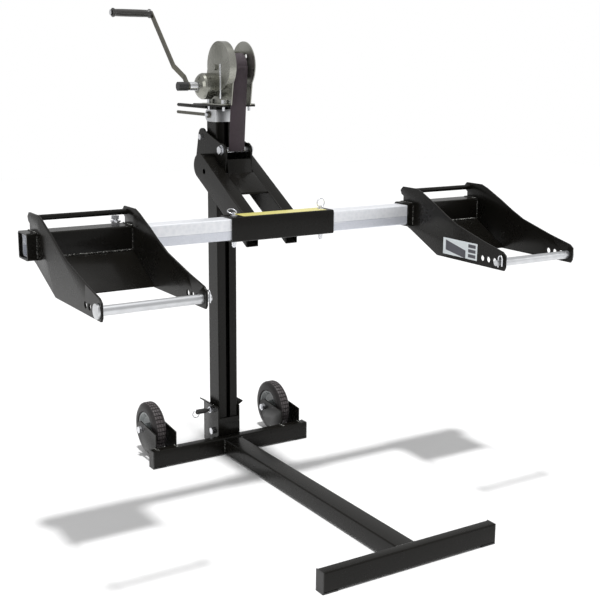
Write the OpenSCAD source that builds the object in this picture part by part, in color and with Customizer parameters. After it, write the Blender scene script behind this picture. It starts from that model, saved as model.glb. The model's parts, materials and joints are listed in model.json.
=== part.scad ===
// Lawn tractor front end lift: a wheeled H base, a slotted mast with a strap
// winch, a carriage with two sloping arms, and a telescoping cross tube that
// carries two wheel cradles. Millimetres, +Z up, front towards -Y.
// All Y sizes are taken from the front face of the mast, all cradle sizes
// from the front face and the middle height of the cross tube.

/* [Base] */
// Length of the rear bar, across the lift
rear_bar_l = 534; // [530:1:640]
// Length of the front bar, across the lift
foot_bar_l = 516; // [300:1:640]
// Front face of the front bar, ahead of the mast
foot_front = 928; // [820:1:1100]
// Depth of both bars, front to back
bar_d = 30; // [26:1:34]
// Height of the tube of both bars
bar_h = 50; // [44:1:56]
// Gap under the bars, taken by the feet of the end plugs
foot_h = 4; // [3:1:6]
// Width of the centre leg
leg_w = 58; // [44:1:60]
// Height of the centre leg
leg_h = 46; // [38:1:48]

/* [Wheels] */
// Radius of the tyres
tyre_r = 80; // [70:1:84]
// Width of the tyres
tyre_w = 42; // [34:1:48]
// Distance of each wheel from the middle
wheel_x = 216; // [205:1:222]
// Wheel axle behind the mast face
axle_y = 96; // [94:1:110]
// Height of the wheel axle
axle_z = 84; // [82:1:92]

/* [Mast] */
// Width of the mast channel
mast_w = 64; // [58:1:64]
// Depth of the mast channel
mast_d = 60; // [54:1:60]
// Wall of the mast channel
mast_t = 3.5; // [2.5:0.5:4.5]
// Width of the slot down the front of the mast
slot_w = 13; // [10:1:18]
// Height of the fold bolt at the foot of the mast
pivot_z = 62; // [58:1:70]
// Top of the mast
mast_top = 1052; // [1040:1:1110]

/* [Winch] */
// Height of the drum shaft
drum_z = 1165; // [1150:1:1190]
// Drum shaft ahead of the mast face
drum_y = 46; // [40:1:52]
// Radius of the gear cover
cover_r = 68; // [66:1:72]
// Height of the crank shaft
crank_z = 1108; // [1100:1:1112]
// Crank shaft behind the mast face
crank_y = 8; // [2:1:12]
// Radius of the brake housing
brake_r = 37; // [32:1:38]
// Crank arm, shaft to grip, measured along the depth
crank_rise_y = 197; // [150:1:202]
// Crank arm, shaft to grip, measured along the height
crank_rise_z = 204; // [160:1:220]
// Width of the webbing strap
strap_w = 50; // [40:1:50]

/* [Carriage] */
// Height of the strap bolt in the rest pose
strap_bolt_z = 930; // [922:1:938]
// Width of each lift arm
arm_w = 39; // [32:1:42]
// Height of each lift arm, square to its length
arm_h = 71; // [60:1:74]
// Slope of the lift arms
arm_slope = 29.7; // [28:0.1:31]

/* [Cross tube] */
// Length of the centre tube
centre_l = 319; // [300:1:340]
// Outside size of the centre tube and the cradle sockets
socket_s = 66; // [64:1:68]
// Outside size of the inner tubes
inner_s = 56; // [52:1:56]
// Front face of the centre tube, ahead of the mast
cross_front = 329; // [322:1:336]
// Middle height of the cross tube in the rest pose
cross_z = 746; // [740:1:752]
// Outer end of the inner tubes from the middle
inner_end = 700; // [690:1:705]

/* [Cradles] */
// Inner face of the inner cradle plate from the middle
cradle_in = 436; // [425:1:445]
// Outer face of the outer cradle plate from the middle
cradle_out = 685; // [660:1:690]
// Inner mouth of the cradle socket from the middle
mouth_in = 418; // [408:1:420]
// Outer mouth of the cradle socket from the middle
mouth_out = 709; // [706:1:725]
// Thickness of the cradle plates
cradle_t = 5; // [3:1:8]
// Radius of the front wheel bar
wheel_bar_r = 11; // [10:1:13]

/* [Shown] */
// Sub-part to show, or all

/* [Hidden] */
// clearances
slide_gap = 1;
spin_gap = 0.08;
bolt_gap = 0.05;
near = 0.5;
lap = 0.01;
// sheet and tube walls
bar_t = 3;
socket_t = (socket_s - inner_s - 2 * slide_gap) / 2;
inner_t = 3;
arm_t = 3;
plate_t = 4;
web_t = 5;
// round steps
fine = 96;
hex = 6;
// places worked out from the sizes above
handle_end = 250;
y_off = (foot_front - handle_end) / 2;
bar_z0 = foot_h;
bar_z1 = foot_h + bar_h;
leg_z1 = foot_h + leg_h;
foot_back = -foot_front + bar_d;
cf = -cross_front;
mast_x = mast_w / 2;
drum_c = -drum_y;
// base details
cap_t = 3;
cap_in = 16;
foot_l = 42;
plug_gap = 0.2;
// forks
fork_in0 = wheel_x - 34;
fork_out0 = wheel_x + 30;
fork_r = 26;
fork_top = 98;
fork_front = -12;
axle_r = 6;
hub_r = 16;
hub_l = fork_out0 - fork_in0 - plate_t - 2 * near;
hub_mid = (fork_out0 + fork_in0 + plate_t) / 2;
rim_r = 50;
rim_lip = 54;
head_h = 8;
head_r = 11;
nut_h = 10;
nut_r = 11;
// mast socket
wall_gap = 1;
wall_x = mast_x + wall_gap;
wall_back = 93;
wall_z0 = 17;
wall_z1 = 143;
stop_gap = 0.6;
stop_z1 = 109;
lip_out = 15;
lip_up = 12;
pivot_y = mast_d / 2;
pivot_r = 6;
lock_y = 34;
lock_z = 130;
lock_r = 5;
lock_body_r = 9;
knob_r = 7.5;
knob_x0 = 92;
knob_x1 = 62;
pull_ring_r = 11;
pull_wire_r = 1.5;
ring_pin_in = 4;
ring_pin_r = 1.2;
hole_extra = 0.3;
// mast top
top_t = 5;
top_x = 56;
top_y0 = -72;
top_y1 = 100;
handle_x0 = 36;
handle_x1 = 26;
handle_z0 = 1042;
handle_z1 = 1052;
lever_z = 1026;
lever_y = 42;
saddle_z0 = 1006;
saddle_z1 = 1042;
saddle_t = 2;
m8_r = 4;
m8_head = 7;
m8_h = 5.5;
// winch
frame_left = strap_w / 2 + 2;
frame_right = strap_w / 2 + 6;
frame_t = 3;
frame_base = mast_top + top_t;
flange_w = 24;
foot_clear = mast_x + saddle_t + m8_r + 1;
foot_left = max(frame_left + 12, foot_clear);
foot_right = max(frame_right + 12, foot_clear);
cover_x0 = 48;
cover_x1 = frame_left + frame_t + near;
cover_t = 2;
gear_r = 61.5;
gear_t = 8;
pinion_r = sqrt(pow(crank_y + drum_y, 2) + pow(drum_z - crank_z, 2)) - gear_r - hole_extra;
drum_r = 16;
drum_x0 = frame_left - near;
drum_x1 = frame_right - near;
roll_r = 36;
shaft_r = 7;
brake_x = 88;
arm_x = 114;
arm_t2 = 5;
arm_flat = 16;
arm_dog = 19;
grip_r = 13;
grip_l = 120;
grip_pin_r = 4;
// carriage
side_t = 5;
side_x = 38;
roller_r = 16;
roller_gap = 0.4;
roller_pin_r = 5;
rear_roller_y = mast_d + roller_r + roller_gap;
rear_roller_z = 960;
front_roller_y = -roller_r - roller_gap;
front_roller_z = 868;
strap_bolt_y = -52;
strap_bolt_r = 8;
strap_t = 2.5;
strap_top_y = drum_c - roll_r - strap_t / 2 - near;
strap_low_y = strap_bolt_y - strap_bolt_r - strap_t / 2 - near;
arm_x0 = 43;
arm_rise = tan(arm_slope);
arm_drop = arm_h / cos(arm_slope);
arm_top_z = 914.4;
arm_round_y = 13;
arm_end = cf + socket_s;
// pull pins
pin_x = 137;
pin_y = cf + socket_s / 2;
pin_r = 6;
pin_head_r = 9;
pin_head_h = 1.5;
pin_eye_r = 4;
pin_eye_z = 5;
pin_eye_h = 9;
pin_eye_hole = 2.5;
pin_tip = 694;
pin_ring_r = 12;
pin_wire_r = 1.5;
ring_lean = -65;
// cradles, from the front face and middle height of the cross tube
bar_y = -377;
bar_z = -80;
bar_pin_r = 8;
hole_step = 24;
rear_rod_y = 38;
rear_rod_z = 64;
rear_rod_r = 7;
clamp_x = 472;
clamp_r = 6;
clip_r = 14;
clip_wire = 1.8;
clip_out = 7;

// ---- helpers ----
module placed() {
  translate([0, y_off, 0]) children();
}

module box(x0, x1, y0, y1, z0, z1) {
  translate([x0, y0, z0]) cube([x1 - x0, y1 - y0, z1 - z0]);
}

module rod_x(x0, x1, y, z, r) {
  translate([x0, y, z]) rotate([0, 90, 0]) cylinder(h = x1 - x0, r = r, $fn = fine);
}

module hex_x(x0, x1, y, z, r) {
  translate([x0, y, z]) rotate([0, 90, 0]) cylinder(h = x1 - x0, r = r, $fn = hex);
}

module rod_y(y0, y1, x, z, r) {
  translate([x, y1, z]) rotate([90, 0, 0]) cylinder(h = y1 - y0, r = r, $fn = fine);
}

module side(x0, x1) {
  translate([x0, 0, 0]) rotate([90, 0, 90]) linear_extrude(height = x1 - x0) children();
}

module both() {
  children();
  mirror([1, 0, 0]) children();
}

module disc(y, z, r) {
  translate([y, z]) circle(r = r, $fn = fine);
}

module ring_about_y(x, y, z, r, w) {
  translate([x, y, z]) rotate([90, 0, 0]) rotate_extrude($fn = fine)
    translate([r, 0]) circle(r = w, $fn = fine);
}

// ---- base ----
module bar_tube(half, y0) {
  difference() {
    box(-half, half, y0, y0 + bar_d, bar_z0, bar_z1);
    box(-half - 1, half + 1, y0 + bar_t, y0 + bar_d - bar_t, bar_z0 + bar_t, bar_z1 - bar_t);
  }
}

module rear_bar() {
  color([0.10, 0.10, 0.09]) placed() bar_tube(rear_bar_l / 2 - cap_t, -bar_d);
}

module foot_bar() {
  color([0.10, 0.10, 0.09]) placed() bar_tube(foot_bar_l / 2 - cap_t, -foot_front);
}

module centre_leg() {
  color([0.10, 0.10, 0.09]) placed() difference() {
    box(-leg_w / 2, leg_w / 2, foot_back, -bar_d, foot_h, leg_z1);
    box(-leg_w / 2 + bar_t, leg_w / 2 - bar_t, foot_back - 1, 1 - bar_d, foot_h + bar_t, leg_z1 - bar_t);
  }
}

module end_plug(half, y0) {
  yi = bar_t + plug_gap;
  box(half - cap_t, half, y0, y0 + bar_d, 0, bar_z1);
  box(half - foot_l, half, y0, y0 + bar_d, 0, foot_h);
  box(half - cap_in, half, y0 + yi, y0 + bar_d - yi, bar_z0 + yi, bar_z1 - yi);
}

module end_plugs() {
  color([0.05, 0.05, 0.05]) placed() both() {
    end_plug(rear_bar_l / 2, -bar_d);
    end_plug(foot_bar_l / 2, -foot_front);
  }
}

module fork_outline() {
  difference() {
    union() {
      disc(axle_y, axle_z, fork_r);
      polygon([[fork_front, bar_z1], [fork_front, fork_top],
        [axle_y - 6, axle_z + fork_r - 0.7], [axle_y + 16, axle_z - 20.5],
        [axle_y - 6, 36], [axle_y - 28, 27], [0, 27], [0, bar_z1]]);
    }
    disc(axle_y, axle_z, axle_r + bolt_gap);
  }
}

module fork_plates() {
  color([0.10, 0.10, 0.09]) placed() both() {
    side(fork_in0, fork_in0 + plate_t) fork_outline();
    side(fork_out0, fork_out0 + plate_t) fork_outline();
  }
}

module axle_bolts() {
  x1 = fork_out0 + plate_t;
  color([0.75, 0.76, 0.78]) placed() both() {
    rod_x(fork_in0 - nut_h - 3, x1 + lap, axle_y, axle_z, axle_r);
    hex_x(x1, x1 + head_h, axle_y, axle_z, head_r);
  }
}

module lock_nuts() {
  color([0.80, 0.81, 0.83]) placed() {
    both() difference() {
      hex_x(fork_in0 - nut_h, fork_in0, axle_y, axle_z, nut_r);
      rod_x(fork_in0 - nut_h - 1, fork_in0 + 1, axle_y, axle_z, axle_r + bolt_gap);
    }
    difference() {
      hex_x(wall_x + plate_t, wall_x + plate_t + nut_h, pivot_y, pivot_z, nut_r);
      rod_x(wall_x, wall_x + plate_t + nut_h + 1, pivot_y, pivot_z, pivot_r + bolt_gap);
    }
  }
}

module socket_outline() {
  difference() {
    polygon([[0, wall_z0], [wall_back, wall_z0], [wall_back, wall_z1], [-stop_gap - plate_t, wall_z1],
      [-stop_gap - plate_t, bar_z1], [0, bar_z1]]);
    disc(pivot_y, pivot_z, pivot_r + bolt_gap);
  }
}

module mast_socket() {
  xo = wall_x + plate_t;
  color([0.10, 0.10, 0.09]) placed() difference() {
    union() {
      both() {
        side(wall_x, xo) socket_outline();
        translate([0, wall_back, 0]) rotate([90, 0, 0]) linear_extrude(height = wall_back)
          polygon([[wall_x, wall_z1 - lap], [xo, wall_z1 - lap], [xo + lip_out, wall_z1 + lip_up - 3],
            [xo + lip_out - 2, wall_z1 + lip_up], [wall_x, wall_z1 + 3]]);
      }
      box(-wall_x, wall_x, -stop_gap - plate_t, -stop_gap, bar_z1, stop_z1);
    }
    rod_x(-xo - 1, -wall_x + 1, lock_y, lock_z, lock_body_r - 2);
  }
}

module pivot_bolt() {
  xo = wall_x + plate_t;
  color([0.75, 0.76, 0.78]) placed() {
    rod_x(-xo - lap, xo + nut_h + 4, pivot_y, pivot_z, pivot_r);
    hex_x(-xo - head_h, -xo, pivot_y, pivot_z, head_r);
  }
}

module lock_body() {
  xo = wall_x + plate_t;
  color([0.80, 0.81, 0.83]) placed() difference() {
    union() {
      hex_x(-xo - 10, -xo, lock_y, lock_z, lock_body_r + 2);
      rod_x(-xo - 14, -wall_x - 0.3, lock_y, lock_z, lock_body_r - 2 - bolt_gap);
    }
    rod_x(-xo - 21, -wall_x + 1, lock_y, lock_z, lock_r + spin_gap);
  }
}

// ---- wheels ----
module tyre_at(s) {
  half = tyre_w / 2;
  translate([s * hub_mid, axle_y, axle_z]) rotate([0, 90, 0]) difference() {
    rotate_extrude($fn = fine) union() {
      translate([rim_r, -half + 6]) square([tyre_r - 8 - rim_r, tyre_w - 12]);
      translate([rim_r, -half + 6]) square([tyre_r - rim_r - 4, tyre_w - 12]);
      translate([tyre_r - 10, -half + 10]) square([10, tyre_w - 20]);
      translate([tyre_r - 10, -half + 10]) circle(r = 10, $fn = fine);
      translate([tyre_r - 10, half - 10]) circle(r = 10, $fn = fine);
      translate([rim_r + 4, -half]) square([tyre_r - 14 - rim_r, tyre_w]);
    }
    translate([0, 0, -half - 1]) cylinder(h = tyre_w + 2, r = rim_r, $fn = fine);
  }
}

module rim_at(s) {
  translate([s * hub_mid, axle_y, axle_z]) rotate([0, 90, 0]) rotate_extrude($fn = fine)
    polygon([[axle_r + spin_gap, -hub_l / 2], [hub_r, -hub_l / 2], [hub_r, -4], [rim_r - 14, -8],
      [rim_r - 4, -tyre_w / 2 + 3], [rim_r, -tyre_w / 2 + 3], [rim_r, tyre_w / 2 - 3],
      [rim_r - 4, tyre_w / 2 - 3], [rim_r - 4, 0], [rim_r - 14, -4], [hub_r, 0], [hub_r, hub_l / 2],
      [axle_r + spin_gap, hub_l / 2]]);
}

module tyre_left() {
  color([0.09, 0.08, 0.08]) placed() tyre_at(-1);
}

module tyre_right() {
  color([0.09, 0.08, 0.08]) placed() tyre_at(1);
}

module rim_left() {
  color([0.55, 0.57, 0.58]) placed() rim_at(-1);
}

module rim_right() {
  color([0.55, 0.57, 0.58]) placed() rim_at(1);
}

// ---- mast lock ----
module lock_pin() {
  color([0.06, 0.06, 0.06]) placed() union() {
    difference() {
      rod_x(-knob_x0, -knob_x1, lock_y, lock_z, knob_r);
      box(-knob_x0 - 1, -knob_x0 + 15, lock_y - 2, lock_y + 2, lock_z - knob_r - 1, lock_z + knob_r + 1);
    }
    rod_x(-knob_x1 - lap, -wall_x + 0.2, lock_y, lock_z, lock_r);
    rod_y(lock_y - 4, lock_y + 4, -knob_x0 + ring_pin_in, lock_z, ring_pin_r);
  }
}

module lock_ring() {
  reach = pull_ring_r - pull_wire_r - ring_pin_r - 0.15;
  color([0.80, 0.81, 0.83]) placed()
    ring_about_y(-knob_x0 + ring_pin_in - reach * cos(45), lock_y,
      lock_z - reach * sin(45), pull_ring_r, pull_wire_r);
}

// ---- mast ----
module mast() {
  in = mast_x - mast_t;
  color([0.11, 0.11, 0.10]) placed() difference() {
    intersection() {
      difference() {
        box(-mast_x, mast_x, 0, mast_d, pivot_z - mast_d / 2, mast_top);
        box(-in, in, mast_t, mast_d - mast_t, 0, mast_top + 1);
        box(-slot_w / 2, slot_w / 2, -1, mast_t + 1, 0, mast_top + 1);
      }
      union() {
        box(-mast_x, mast_x, 0, mast_d, pivot_z, mast_top);
        rod_x(-mast_x, mast_x, pivot_y, pivot_z, mast_d / 2);
      }
    }
    rod_x(-mast_x - 1, mast_x + 1, pivot_y, pivot_z, pivot_r + spin_gap);
    rod_x(-mast_x - 1, 0, lock_y, lock_z, lock_r + hole_extra);
    rod_x(-mast_x - 1, 0, lever_y, lever_z, m8_r + bolt_gap);
  }
}

module top_plate() {
  color([0.08, 0.08, 0.08]) placed() difference() {
    box(-top_x, top_x, top_y0, top_y1, mast_top, mast_top + top_t);
    for (x = [-foot_left, foot_right], y = [top_y0 + 14, 30])
      translate([x, y, mast_top - 1]) cylinder(h = top_t + 2, r = m8_r + bolt_gap, $fn = fine);
  }
}

module rear_handle() {
  color([0.07, 0.07, 0.07]) placed() difference() {
    union() {
      box(-handle_x0, -handle_x1, mast_d, handle_end - 6, handle_z0, handle_z1);
      rod_y(handle_end - 6, handle_end, (-handle_x0 - handle_x1) / 2, (handle_z0 + handle_z1) / 2, 5);
      box(-handle_x0, -handle_x1, mast_d, top_y1, handle_z0, mast_top);
    }
    rod_x(-handle_x0 - 1, -handle_x1 + 1, handle_end - 90, (handle_z0 + handle_z1) / 2, 2);
    rod_x(-handle_x0 - 1, -handle_x1 + 1, handle_end - 122, (handle_z0 + handle_z1) / 2, 2);
  }
}

module lever_saddle() {
  xo = mast_x + saddle_t;
  mid = (saddle_z0 + saddle_z1) / 2;
  color([0.86, 0.87, 0.88]) placed() difference() {
    union() {
      both() {
        box(mast_x, xo, -saddle_t, mast_d - 8, saddle_z0, saddle_z1);
        side(mast_x, xo) disc(mast_d - 12, mid, (saddle_z1 - saddle_z0) / 2);
      }
      box(-xo, xo, -saddle_t, 0, saddle_z0, saddle_z1);
    }
    rod_x(-xo - 1, -mast_x + 1, lever_y, lever_z, m8_r + bolt_gap);
  }
}

module winch_outline() {
  union() {
    disc(drum_c, drum_z, cover_r);
    polygon([[drum_c - cover_r + 6, drum_z + 20], [drum_c - 40, frame_base], [46, frame_base],
      [46, crank_z + 20], [drum_c + 40, drum_z + 55]]);
  }
}

module winch_frame() {
  color([0.62, 0.62, 0.58]) placed() difference() {
    union() {
      side(-frame_left - frame_t, -frame_left) winch_outline();
      side(frame_right, frame_right + frame_t) winch_outline();
      box(-frame_left - frame_t - flange_w, -frame_left - frame_t, top_y0 + 2, 44,
        frame_base, frame_base + frame_t);
      box(frame_right + frame_t, top_x, top_y0 + 2, 44, frame_base, frame_base + frame_t);
      rod_x(-frame_left - lap, frame_right + lap, drum_c + 44, drum_z + 36, 5);
    }
    for (x = [-foot_left, foot_right], y = [top_y0 + 14, 30])
      translate([x, y, frame_base - 1]) cylinder(h = frame_t + 2, r = m8_r + bolt_gap, $fn = fine);
    rod_x(-frame_left - frame_t - 1, frame_right + frame_t + 1, drum_c, drum_z, shaft_r + spin_gap);
    rod_x(-frame_left - frame_t - 1, frame_right + frame_t + 1, crank_y, crank_z, shaft_r + spin_gap);
    rod_x(frame_right - 1, frame_right + frame_t + 1, drum_c - 16, drum_z + 27, 6);
  }
}

module m8_bolts() {
  xo = mast_x + saddle_t;
  color([0.82, 0.83, 0.85]) placed() {
    for (x = [-foot_left, foot_right], y = [top_y0 + 14, 30])
      translate([x, y, 0]) {
        translate([0, 0, mast_top - 12]) cylinder(h = 12 + top_t + frame_t + lap, r = m8_r, $fn = fine);
        translate([0, 0, mast_top + top_t + frame_t]) cylinder(h = m8_h * 2, r = m8_head, $fn = hex);
      }
    hex_x(-xo - 5 - m8_h, -xo - 5, lever_y, lever_z, m8_head);
    rod_x(-xo - 5 - lap, -mast_x + mast_t, lever_y, lever_z, m8_r);
  }
}

module gear_outline(grow) {
  union() {
    disc(drum_c, drum_z, cover_r + grow);
    disc(crank_y, crank_z, pinion_r + 12 + grow);
    polygon([[drum_c + 48 + grow / 2, drum_z + 48 + grow / 2], [crank_y + 28 + grow, crank_z + 4],
      [crank_y - 8, crank_z - 27 - grow], [drum_c - 48, drum_z - 48 - grow]]);
  }
}

module gear_cover() {
  color([0.45, 0.45, 0.40]) placed() difference() {
    union() {
      side(-cover_x0, -cover_x1 + 0.5) gear_outline(0);
      hex_x(-cover_x0 - m8_h, -cover_x0 + lap, drum_c + 16, drum_z - 4, m8_head + 1);
    }
    side(-cover_x0 + cover_t, -cover_x1 + 1) gear_outline(-cover_t);
    rod_x(-cover_x0 - 1, -cover_x1, crank_y, crank_z, shaft_r + spin_gap);
  }
}

module brake_housing() {
  color([0.50, 0.50, 0.46]) placed() difference() {
    translate([-cover_x0, crank_y, crank_z]) rotate([0, -90, 0]) rotate_extrude($fn = fine)
      polygon([[shaft_r + spin_gap, 0], [brake_r, 0], [brake_r, 24], [brake_r - 3, 30],
        [brake_r - 9, 36], [brake_r - 18, 40], [shaft_r + spin_gap, 40]]);
  }
}

module drum_axle() {
  color([0.80, 0.81, 0.83]) placed() {
    rod_x(-cover_x0 + cover_t + 2, frame_right + frame_t + 6, drum_c, drum_z, shaft_r);
    rod_x(frame_right + frame_t + near, frame_right + frame_t + 4, drum_c, drum_z, shaft_r + 3);
  }
}

module release_lever() {
  xo = mast_x + saddle_t;
  x0 = -xo - 4.5;
  x1 = -xo - 0.5;
  color([0.42, 0.42, 0.36]) placed() difference() {
    union() {
      rod_x(x0, x1, lever_y, lever_z, 10);
      box(x0, x1, lever_y + 6, handle_end - 6, lever_z - 5, lever_z + 4);
      box(x0, x1, handle_end - 7, handle_end - 2, lever_z - 3, lever_z + 2);
    }
    rod_x(x0 - 1, x1 + 1, lever_y, lever_z, m8_r + spin_gap);
  }
}

// ---- drum and crank ----
module drum() {
  color([0.60, 0.60, 0.56]) placed() difference() {
    rod_x(-drum_x0, drum_x1, drum_c, drum_z, drum_r);
    rod_x(-drum_x0 - 1, drum_x1 + 1, drum_c, drum_z, shaft_r + bolt_gap);
  }
}

module strap_roll() {
  color([0.29, 0.24, 0.26]) placed() difference() {
    rod_x(-strap_w / 2 + near, strap_w / 2 - near, drum_c, drum_z, roll_r);
    rod_x(-strap_w, strap_w, drum_c, drum_z, drum_r);
  }
}

module drum_gear() {
  color([0.55, 0.55, 0.50]) placed() difference() {
    rod_x(-cover_x0 + cover_t + 4, -cover_x0 + cover_t + 4 + gear_t, drum_c, drum_z, gear_r);
    rod_x(-cover_x0, -frame_left, drum_c, drum_z, shaft_r + bolt_gap);
  }
}

module crank_shaft() {
  color([0.78, 0.79, 0.80]) placed() {
    rod_x(-arm_x - arm_t2 - 6, frame_right + frame_t + 4, crank_y, crank_z, shaft_r);
    rod_x(-cover_x0 + cover_t + 3.5, -cover_x0 + cover_t + 4.5 + gear_t, crank_y, crank_z, pinion_r);
    rod_x(-arm_x + lap, -brake_x - 1, crank_y, crank_z, shaft_r + 5);
  }
}

module crank_arm() {
  len = sqrt(pow(crank_rise_y, 2) + pow(crank_rise_z, 2));
  lean = atan2(crank_rise_y, crank_rise_z);
  low = len * 0.12;
  high = len * 0.27;
  color([0.34, 0.34, 0.30]) placed() translate([0, crank_y, crank_z]) rotate([-lean, 0, 0]) difference() {
    union() {
      rod_x(-arm_x - arm_t2, -arm_x, 0, 0, arm_flat / 2 + 3);
      rod_x(-arm_x - arm_dog - arm_t2, -arm_x - arm_dog, 0, len, arm_flat / 2);
      translate([0, arm_flat / 2, 0]) rotate([90, 0, 0]) linear_extrude(height = arm_flat)
        polygon([[-arm_x, 0], [-arm_x, low], [-arm_x - arm_dog, high], [-arm_x - arm_dog, len],
          [-arm_x - arm_dog - arm_t2, len], [-arm_x - arm_dog - arm_t2, high + 1],
          [-arm_x - arm_t2, low + 1], [-arm_x - arm_t2, 0]]);
    }
    rod_x(-arm_x - arm_t2 - 1, -arm_x + 1, 0, 0, shaft_r + bolt_gap);
    rod_x(-arm_x - arm_dog - arm_t2 - 1, -arm_x - arm_dog + 1, 0, len, grip_pin_r + bolt_gap);
  }
}

module crank_bolts() {
  xn = arm_x + arm_t2;
  pin_x0 = arm_x + arm_dog - 1.5;
  color([0.06, 0.06, 0.06]) placed() {
    difference() {
      rod_x(-xn - 30, -xn, crank_y, crank_z, 12.5);
      rod_x(-xn - 7, -xn + 1, crank_y, crank_z, shaft_r + bolt_gap);
    }
    rod_x(-pin_x0 - grip_l - 12, -pin_x0, crank_y + crank_rise_y,
      crank_z + crank_rise_z, grip_pin_r);
    rod_x(-pin_x0 - grip_l - 12, -pin_x0 - grip_l - 9, crank_y + crank_rise_y,
      crank_z + crank_rise_z, grip_r - 5);
  }
}

module crank_grip() {
  g0 = arm_x + arm_dog + arm_t2 + near;
  color([0.10, 0.10, 0.10]) placed() translate([-g0, crank_y + crank_rise_y, crank_z + crank_rise_z])
    rotate([0, -90, 0]) rotate_extrude($fn = fine)
      polygon([[grip_pin_r + spin_gap, 0], [grip_r - 2, 0], [grip_r, 4], [grip_r - 1, grip_l / 2],
        [grip_r, grip_l - 12], [grip_r, grip_l - 5], [grip_r - 3, grip_l],
        [grip_pin_r + spin_gap, grip_l]]);
}

module strap() {
  color([0.29, 0.24, 0.26]) placed() side(-strap_w / 2, strap_w / 2)
    polygon([[strap_top_y - strap_t / 2, drum_z], [strap_top_y + strap_t / 2, drum_z],
      [strap_low_y + strap_t / 2, strap_bolt_z - 4], [strap_low_y - strap_t / 2, strap_bolt_z - 4]]);
}

// ---- carriage ----
module carriage_outline() {
  difference() {
    union() {
      disc(70, 962, 24);
      disc(-54, 925, 24);
      disc(90, 892, 22);
      polygon([[-78, 925], [-72, 862], [-56, 842], [40, 842], [98, 871.5], [111.8, 894], [93.8, 964],
        [77, 985], [-47, 948]]);
    }
    disc(rear_roller_y, rear_roller_z, roller_pin_r + bolt_gap);
    disc(front_roller_y, front_roller_z, roller_pin_r + bolt_gap);
    disc(strap_bolt_y, strap_bolt_z, strap_bolt_r + bolt_gap);
  }
}

module carriage_plates() {
  color([0.10, 0.10, 0.09]) placed() both() side(side_x, side_x + side_t) carriage_outline();
}

module arm_outline(inset) {
  mid = arm_top_z + arm_rise * arm_round_y - arm_drop / 2;
  y0 = arm_round_y + (arm_h / 2) * sin(arm_slope);
  y1 = arm_round_y - (arm_h / 2) * sin(arm_slope);
  h = (arm_h / 2) * cos(arm_slope);
  i = inset / cos(arm_slope);
  polygon([[arm_end, arm_top_z + arm_rise * arm_end - i], [y1, mid + h - i * arm_h / arm_h],
    [y0, mid - h + i], [arm_end, arm_top_z + arm_rise * arm_end - arm_drop + i]]);
}

module lift_arms() {
  mid = arm_top_z + arm_rise * arm_round_y - arm_drop / 2;
  color([0.10, 0.10, 0.09]) placed() both() difference() {
    side(arm_x0, arm_x0 + arm_w) union() {
      disc(arm_round_y, mid, arm_h / 2);
      arm_outline(0);
    }
    side(arm_x0 + arm_t, arm_x0 + arm_w - arm_t) arm_outline(arm_t);
    rod_x(arm_x0 - 1, arm_x0 + arm_w + 1, front_roller_y, front_roller_z, 8);
  }
}

module cross_web() {
  color([0.10, 0.10, 0.09]) placed() {
    side(-arm_x0, arm_x0) polygon([[-84, arm_top_z - 84 * arm_rise], [-165, arm_top_z - 165 * arm_rise],
      [-165, arm_top_z - 165 * arm_rise - web_t - 1], [-84, arm_top_z - 84 * arm_rise - web_t - 1]]);
    side(-side_x, side_x) polygon([[-76, 905], [-70, 905], [-66, 872], [-84, 860.8],
      [-84, arm_top_z - 84 * arm_rise]]);
  }
}

module centre_tube() {
  half = centre_l / 2;
  hi = cross_z + socket_s / 2;
  lo = cross_z - socket_s / 2;
  color([0.11, 0.11, 0.10]) placed() difference() {
    box(-half, half, cf, cf + socket_s, lo, hi);
    box(-half - 1, half + 1, cf + socket_t, cf + socket_s - socket_t, lo + socket_t, hi - socket_t);
    for (s = [-1, 1])
      translate([s * pin_x, pin_y, lo - 1]) cylinder(h = socket_s + 2, r = pin_r + spin_gap, $fn = fine);
  }
}

module strap_bolt() {
  xo = side_x + side_t;
  color([0.78, 0.79, 0.80]) placed() {
    rod_x(-xo - lap, xo + nut_h + 3, strap_bolt_y, strap_bolt_z, strap_bolt_r);
    rod_x(-xo - 2, -xo, strap_bolt_y, strap_bolt_z, head_r + 3);
    hex_x(-xo - 2 - head_h, -xo - 1.5, strap_bolt_y, strap_bolt_z, head_r + 1);
    hex_x(xo, xo + nut_h, strap_bolt_y, strap_bolt_z, head_r + 1);
  }
}

module roller_bolts() {
  xo = side_x + side_t;
  color([0.70, 0.71, 0.72]) placed() {
    rod_x(-xo - lap, xo + lap, rear_roller_y, rear_roller_z, roller_pin_r);
    rod_x(-xo - lap, xo + lap, front_roller_y, front_roller_z, roller_pin_r);
    both() {
      hex_x(xo, xo + 6, rear_roller_y, rear_roller_z, 9);
      hex_x(xo, xo + 1.9, front_roller_y, front_roller_z, 7.5);
    }
  }
}

module inner_tube(s) {
  x0 = 64;
  hi = cross_z + inner_s / 2;
  lo = cross_z - inner_s / 2;
  y0 = pin_y - inner_s / 2;
  y1 = pin_y + inner_s / 2;
  difference() {
    box(min(s * x0, s * inner_end), max(s * x0, s * inner_end), y0, y1, lo, hi);
    box(-inner_end - 1, inner_end + 1, y0 + inner_t, y1 - inner_t, lo + inner_t, hi - inner_t);
    translate([s * pin_x, pin_y, lo - 1]) cylinder(h = inner_s + 2, r = pin_r + spin_gap, $fn = fine);
  }
}

module inner_tube_left() {
  color([0.78, 0.80, 0.83]) placed() inner_tube(-1);
}

module inner_tube_right() {
  color([0.78, 0.80, 0.83]) placed() inner_tube(1);
}

module roller(y, z, r) {
  difference() {
    rod_x(-side_x + 1, side_x - 1, y, z, r);
    rod_x(-side_x, side_x, y, z, roller_pin_r + spin_gap);
  }
}

module rear_roller() {
  color([0.14, 0.14, 0.14]) placed() roller(rear_roller_y, rear_roller_z, roller_r);
}

module front_roller() {
  color([0.14, 0.14, 0.14]) placed() roller(front_roller_y, front_roller_z, roller_r);
}

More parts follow.
